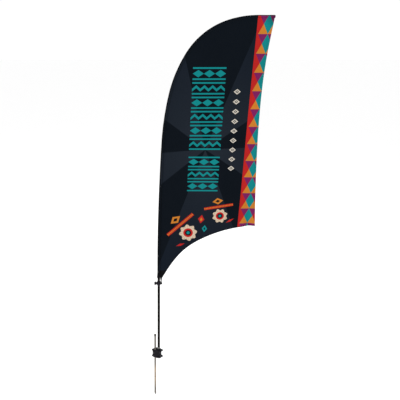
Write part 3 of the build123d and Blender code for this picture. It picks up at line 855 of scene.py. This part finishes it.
def pocket_section(length):
    """The pocket's outline at a length, which closes in a rounded fold at the pole's end."""
    along = (length - POCKET_START + POCKET_OVERLAP) / (POCKET_REACH + POCKET_OVERLAP)
    closing = sqrt(max(1 - max((along - (1 - POCKET_CLOSING)) / POCKET_CLOSING, 0.0) ** 2, 0.0))
    radius = max(POCKET_RADIUS * closing * (1 + 0.04 * sin(length * 1.3)), 0.25)
    return sleeve_section(radius, between(2.0, TAIL + 1.0, closing), between(0.5, POCKET_WALL, closing))


def make_pocket():
    """The webbing pocket over the pole's end, closed by a rounded fold."""
    start, whole = POCKET_START - POCKET_OVERLAP, POCKET_REACH + POCKET_OVERLAP
    lengths = [start + i * whole / POCKET_STEPS for i in range(POCKET_STEPS + 1)]
    rows = [across_pole(length, pocket_section(length)) for length in lengths]
    points, faces = loft(rows, start_cap=True, end_cap=True)
    open_section = sleeve_section(POCKET_RADIUS, TAIL, POCKET_WALL)
    size, paints = len(rows[0]), []
    for face in faces:
        inset = sum(open_section[corner % size][0] for corner in face) / len(face)
        paints.append(1 if inset > PRINT_FROM else 0)
    return piece(
        "tip_pocket_webbing",
        points,
        faces,
        [WEBBING, PRINT],
        paints=paints,
        stands_for=["tip_pocket"],
    )


# ---- The reinforced corner, its tab, and the elastic loop ----

PATCH_HALF, TAB_HALF_THICKNESS, PATCH_COLUMNS, PATCH_ROWS = 1.0, 1.2, 18, 26


def bottom_edge_x(z):
    """Where the bottom edge is at a height."""
    low, high = 0.0, 1.0
    for _ in range(30):
        middle = (low + high) / 2
        low, high = (middle, high) if bottom_edge(middle)[1] < z else (low, middle)
    return bottom_edge(low)[0]


def make_patch():
    """The black patch at the flag's foot, a little pillowed inside its stitched border."""
    rows = []
    for i in range(PATCH_ROWS + 1):
        share = i / PATCH_ROWS
        z = between(FOOT + 0.5, PATCH_TOP, share)
        left, right = CLOTH_INSET, bottom_edge_x(z) + 0.3
        front, back = [], []
        for j in range(PATCH_COLUMNS + 1):
            across = j / PATCH_COLUMNS
            side_rim = min(across * 4, (1 - across) * (right - left) / 1.6)
            rim = min(side_rim, share * 20, (1 - share) * 50 / 1.4, 1.0)
            half = between(CLOTH_HALF + 0.05, PATCH_HALF, sqrt(max(rim, 0.0)))
            x = between(left, right, across)
            y = half * (1 + 0.05 * sin(x * 0.5) * sin(z * 0.33))
            front.append((x, relief(x, z) - y, z))
            back.append((x, relief(x, z) + y, z))
        rows.append(front + back[::-1])
    points, faces = loft(rows, start_cap=True, end_cap=True)
    replaced = ["corner_patch"]
    return piece("corner_patch_webbing", points, faces, [WEBBING], stands_for=replaced)


def make_tab():
    """The tab's webbing round the grommet, rounded at its lower end."""
    rings, corners = 9, 72
    rows = []
    for i in range(corners):
        angle = 2 * pi * i / corners
        c, s = cos(angle), sin(angle)
        reach = TAB_HALF
        if s > 0:
            reach = min(TAB_HALF / abs(c) if abs(c) > 1e-6 else 1e9, (TAB_TOP - GROMMET_Z) / s)
        section = []
        for side in (-1, 1):
            steps = range(rings + 1) if side < 0 else range(rings, -1, -1)
            for k in steps:
                share = k / rings
                distance = between(GROMMET_BARREL, reach, share)
                rim = min((reach - distance) / 1.2, 1.0)
                half = between(0.55, TAB_HALF_THICKNESS, sqrt(max(rim, 0.0)))
                section.append((TAB_X + c * distance, side * half, GROMMET_Z + s * distance))
        rows.append(section)
    points, faces = loft(rows + [rows[0]])
    return piece("corner_tab_webbing", points, faces, [WEBBING], stands_for=["corner_tab"])


LOOP_TURN_STEPS, LOOP_RUN_STEPS, LOOP_SECTION_POINTS, LOOP_WAIST = 16, 20, 20, 0.55


def loop_path():
    """The loop's middle line in the YZ plane, with its outward direction: over the top, down, under, up."""
    middle = LOOP_HALF_GAP + LOOP_THICKNESS / 2
    path = []
    for side, turn_z, next_z, start in ((-1.0, LOOP_TOP_Z, POST_Z, 0.0), (1.0, POST_Z, LOOP_TOP_Z, pi)):
        for i in range(LOOP_TURN_STEPS + 1):
            angle = start + pi * i / LOOP_TURN_STEPS
            path.append((middle * cos(angle), turn_z + middle * sin(angle), cos(angle), sin(angle)))
        for i in range(1, LOOP_RUN_STEPS):
            share = i / LOOP_RUN_STEPS
            drawn_in = LOOP_WAIST * sin(pi * share)
            path.append((side * (middle - drawn_in), between(turn_z, next_z, share), side, 0.0))
    return path


def make_loop():
    """The elastic loop from the strap post up through the grommet, drawn in a little between them."""
    half_width, half = LOOP_WIDTH / 2, LOOP_THICKNESS / 2
    section = []
    for i in range(LOOP_SECTION_POINTS):
        angle = 2 * pi * i / LOOP_SECTION_POINTS
        c, s = cos(angle), sin(angle)
        section.append((half_width * copysign(abs(c) ** 0.35, c), half * copysign(abs(s) ** 0.6, s)))
    path = loop_path()
    rows = []
    for i, (y, z, out_y, out_z) in enumerate(path + path[:1]):
        ribbed = 1 + 0.05 * sin(i * 1.9)
        row = []
        for across, out in section:
            row.append((TAB_X + across, y + out * out_y * ribbed, z + out * out_z * ribbed))
        rows.append(row)
    points, faces = loft(rows)
    made = piece(
        "tension_loop_elastic",
        points,
        faces,
        [ELASTIC],
        stands_for=["tension_loop"],
        rides=False,
    )
    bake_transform(made)


# ---- Stitching: short raised threads on both faces ----

STITCH, STITCH_GAP, THREAD_RADIUS = 3.0, 1.0, 0.27


def add_stitch(points, faces, start, end, y, side):
    """One thread from a point of the cloth's plane to another, sunk at both ends."""
    (xa, za), (xb, zb) = start, end
    span = hypot(xb - xa, zb - za)
    along_x, along_z = (xb - xa) / span, (zb - za) / span
    first = len(points)
    for share, size, lift in ((0.0, 0.5, -0.3), (0.2, 0.95, 0.0), (0.8, 0.95, 0.0), (1.0, 0.5, -0.3)):
        x, z = between(xa, xb, share), between(za, zb, share)
        base = relief(x, z) + side * (y + lift * THREAD_RADIUS)
        for turn in (0, 1, 2, 3):
            across = THREAD_RADIUS * size * cos(turn * pi / 2)
            up = THREAD_RADIUS * size * sin(turn * pi / 2)
            points.append((x - along_z * across, base + side * up, z + along_x * across))
    for ring in range(3):
        for turn in range(4):
            a, b = first + ring * 4 + turn, first + ring * 4 + (turn + 1) % 4
            faces.append((a, b, b + 4, a + 4))
    faces.append(tuple(first + turn for turn in (3, 2, 1, 0)))
    faces.append(tuple(first + 12 + turn for turn in range(4)))


def sew(points, faces, line, y):
    """A row of stitches on both faces along a line of points in the cloth's plane."""
    line = np.array(line)
    runs = np.concatenate([[0.0], np.cumsum(np.hypot(*np.diff(line, axis=0).T))])
    position = 0.0
    while position + STITCH < runs[-1]:
        start, end = (
            tuple(float(np.interp(position + step, runs, line[:, k])) for k in (0, 1))
            for step in (0.0, STITCH)
        )
        for side in (-1, 1):
            add_stitch(points, faces, start, end, y, side)
        position += STITCH + STITCH_GAP


def seam_line(inset):
    return [beside(length, inset) for length in np.arange(FOOT + 8.0, POLE_LENGTH - 26.0, 5.0)]


def inset_line(frames, inset):
    return [(x + inward_x * inset, z + inward_z * inset) for x, z, inward_x, inward_z in frames]


def make_stitching(side_frames, bottom_frames):
    """All the flag's seams: the sleeve, both hems, the patch, the tab and the pocket."""
    points, faces = [], []
    for inset in (SEAM_INSET - 0.6, SEAM_INSET + 1.0):
        sew(points, faces, seam_line(inset), 1.0)
    sew(points, faces, inset_line(side_frames[1:-2], SIDE_HEM_WIDTH - STITCH_INSET), HEM_VALLEY + 0.14)
    sew(points, faces, inset_line(bottom_frames[2:-1], BOTTOM_HEM_WIDTH - STITCH_INSET), HEM_VALLEY + 0.14)
    low, high = FOOT + 6.0, PATCH_TOP - 3.0
    sew(points, faces, [(SEAM_INSET + 3.4, high), (bottom_edge_x(high) - 3.0, high)], PATCH_HALF + 0.1)
    sew(points, faces, [(bottom_edge_x(z) - 3.0, z) for z in np.linspace(high, low, 14)], PATCH_HALF + 0.1)
    left, right, top, foot = TAB_X - 4.2, TAB_X + 4.2, TAB_TOP - 2.4, GROMMET_Z + 9.0
    box = [(left, foot), (right, foot), (right, top), (left, top), (left, foot), (right, top)]
    sew(points, faces, box, TAB_HALF_THICKNESS + 0.05)
    sew(points, faces, [(left, top), (right, foot)], TAB_HALF_THICKNESS + 0.1)
    x, z, _ = centre_line(POCKET_START)
    sew(points, faces, [(x + 2.0 + step, TIP[1] - 0.6) for step in (0.0, 18.0)], POCKET_WALL + 0.05)
    return piece("stitching", points, faces, [THREAD])


cloth = make_cloth()
side_frames = edge_frames(free_edge, 1150.0, 0.0, 0.996)
bottom_frames = edge_frames(bottom_edge, 690.0, 0.075, 0.9985)
side_hem = make_hem("side_hem_fold", side_frames, SIDE_HEM_WIDTH, HEM_HALF, ["free_edge_hem"])
bottom_hem = make_hem(
    "bottom_hem_fold", bottom_frames, BOTTOM_HEM_WIDTH, HEM_HALF * 1.1, ["bottom_hem"], BINDING_WIDTH
)
sleeve = make_sleeve()
pocket = make_pocket()
patch = make_patch()
tab = make_tab()
make_loop()
stitching = make_stitching(side_frames, bottom_frames)

# ---- Studio ----

FLOOR_Z, FLOOR_HALF = -0.3245, 40.0
FLOOR_PAINT, FLOOR_PAINT_FAINT = (0.972, 0.972, 0.972, 1.0), (0.955, 0.955, 0.955, 1.0)
LIGHTS = (
    ("key", (-2.6, -3.4, 3.6), 2.0, 110.0),
    ("back", (1.6, 3.6, 3.4), 2.2, 70.0),
)
AIM = Vector((0.3, 0.0, 0.9))

floor_surface = Surface("pale_floor", FLOOR_PAINT, Specular_IOR_Level=0.1)
floor_surface.layer(floor_surface.noise(900.0, 2.0) * 0.25, FLOOR_PAINT_FAINT)
floor_mesh = bpy.data.meshes.new("floor")
floor_corners = [(x * FLOOR_HALF, y * FLOOR_HALF, FLOOR_Z) for x, y in ((-1, -1), (1, -1), (1, 1), (-1, 1))]
floor_mesh.from_pydata(floor_corners, [], [(0, 1, 2, 3)])
floor_mesh.materials.append(floor_surface.finished(floor_surface.noise(900.0).ranged(0.3, 0.7, 0.8, 0.9)))
floor = bpy.data.objects.new("floor", floor_mesh)
bpy.context.scene.collection.objects.link(floor)

for name, place, size, power in LIGHTS:
    light = bpy.data.lights.new(name, "AREA")
    light.size, light.energy = size, power
    lamp = bpy.data.objects.new(name, light)
    lamp.location = place
    lamp.rotation_euler = (AIM - Vector(place)).to_track_quat("-Z", "Y").to_euler()
    bpy.context.scene.collection.objects.link(lamp)

WORLD_LIGHT = 1.02
world = bpy.data.worlds.new("studio")
world.use_nodes = True
bpy.context.scene.world = world
backdrop = world.node_tree.nodes["Background"]
backdrop.inputs["Color"].default_value = (1.0, 1.0, 1.0, 1.0)
backdrop.inputs["Strength"].default_value = WORLD_LIGHT
bpy.context.scene.view_settings.view_transform = "Standard"
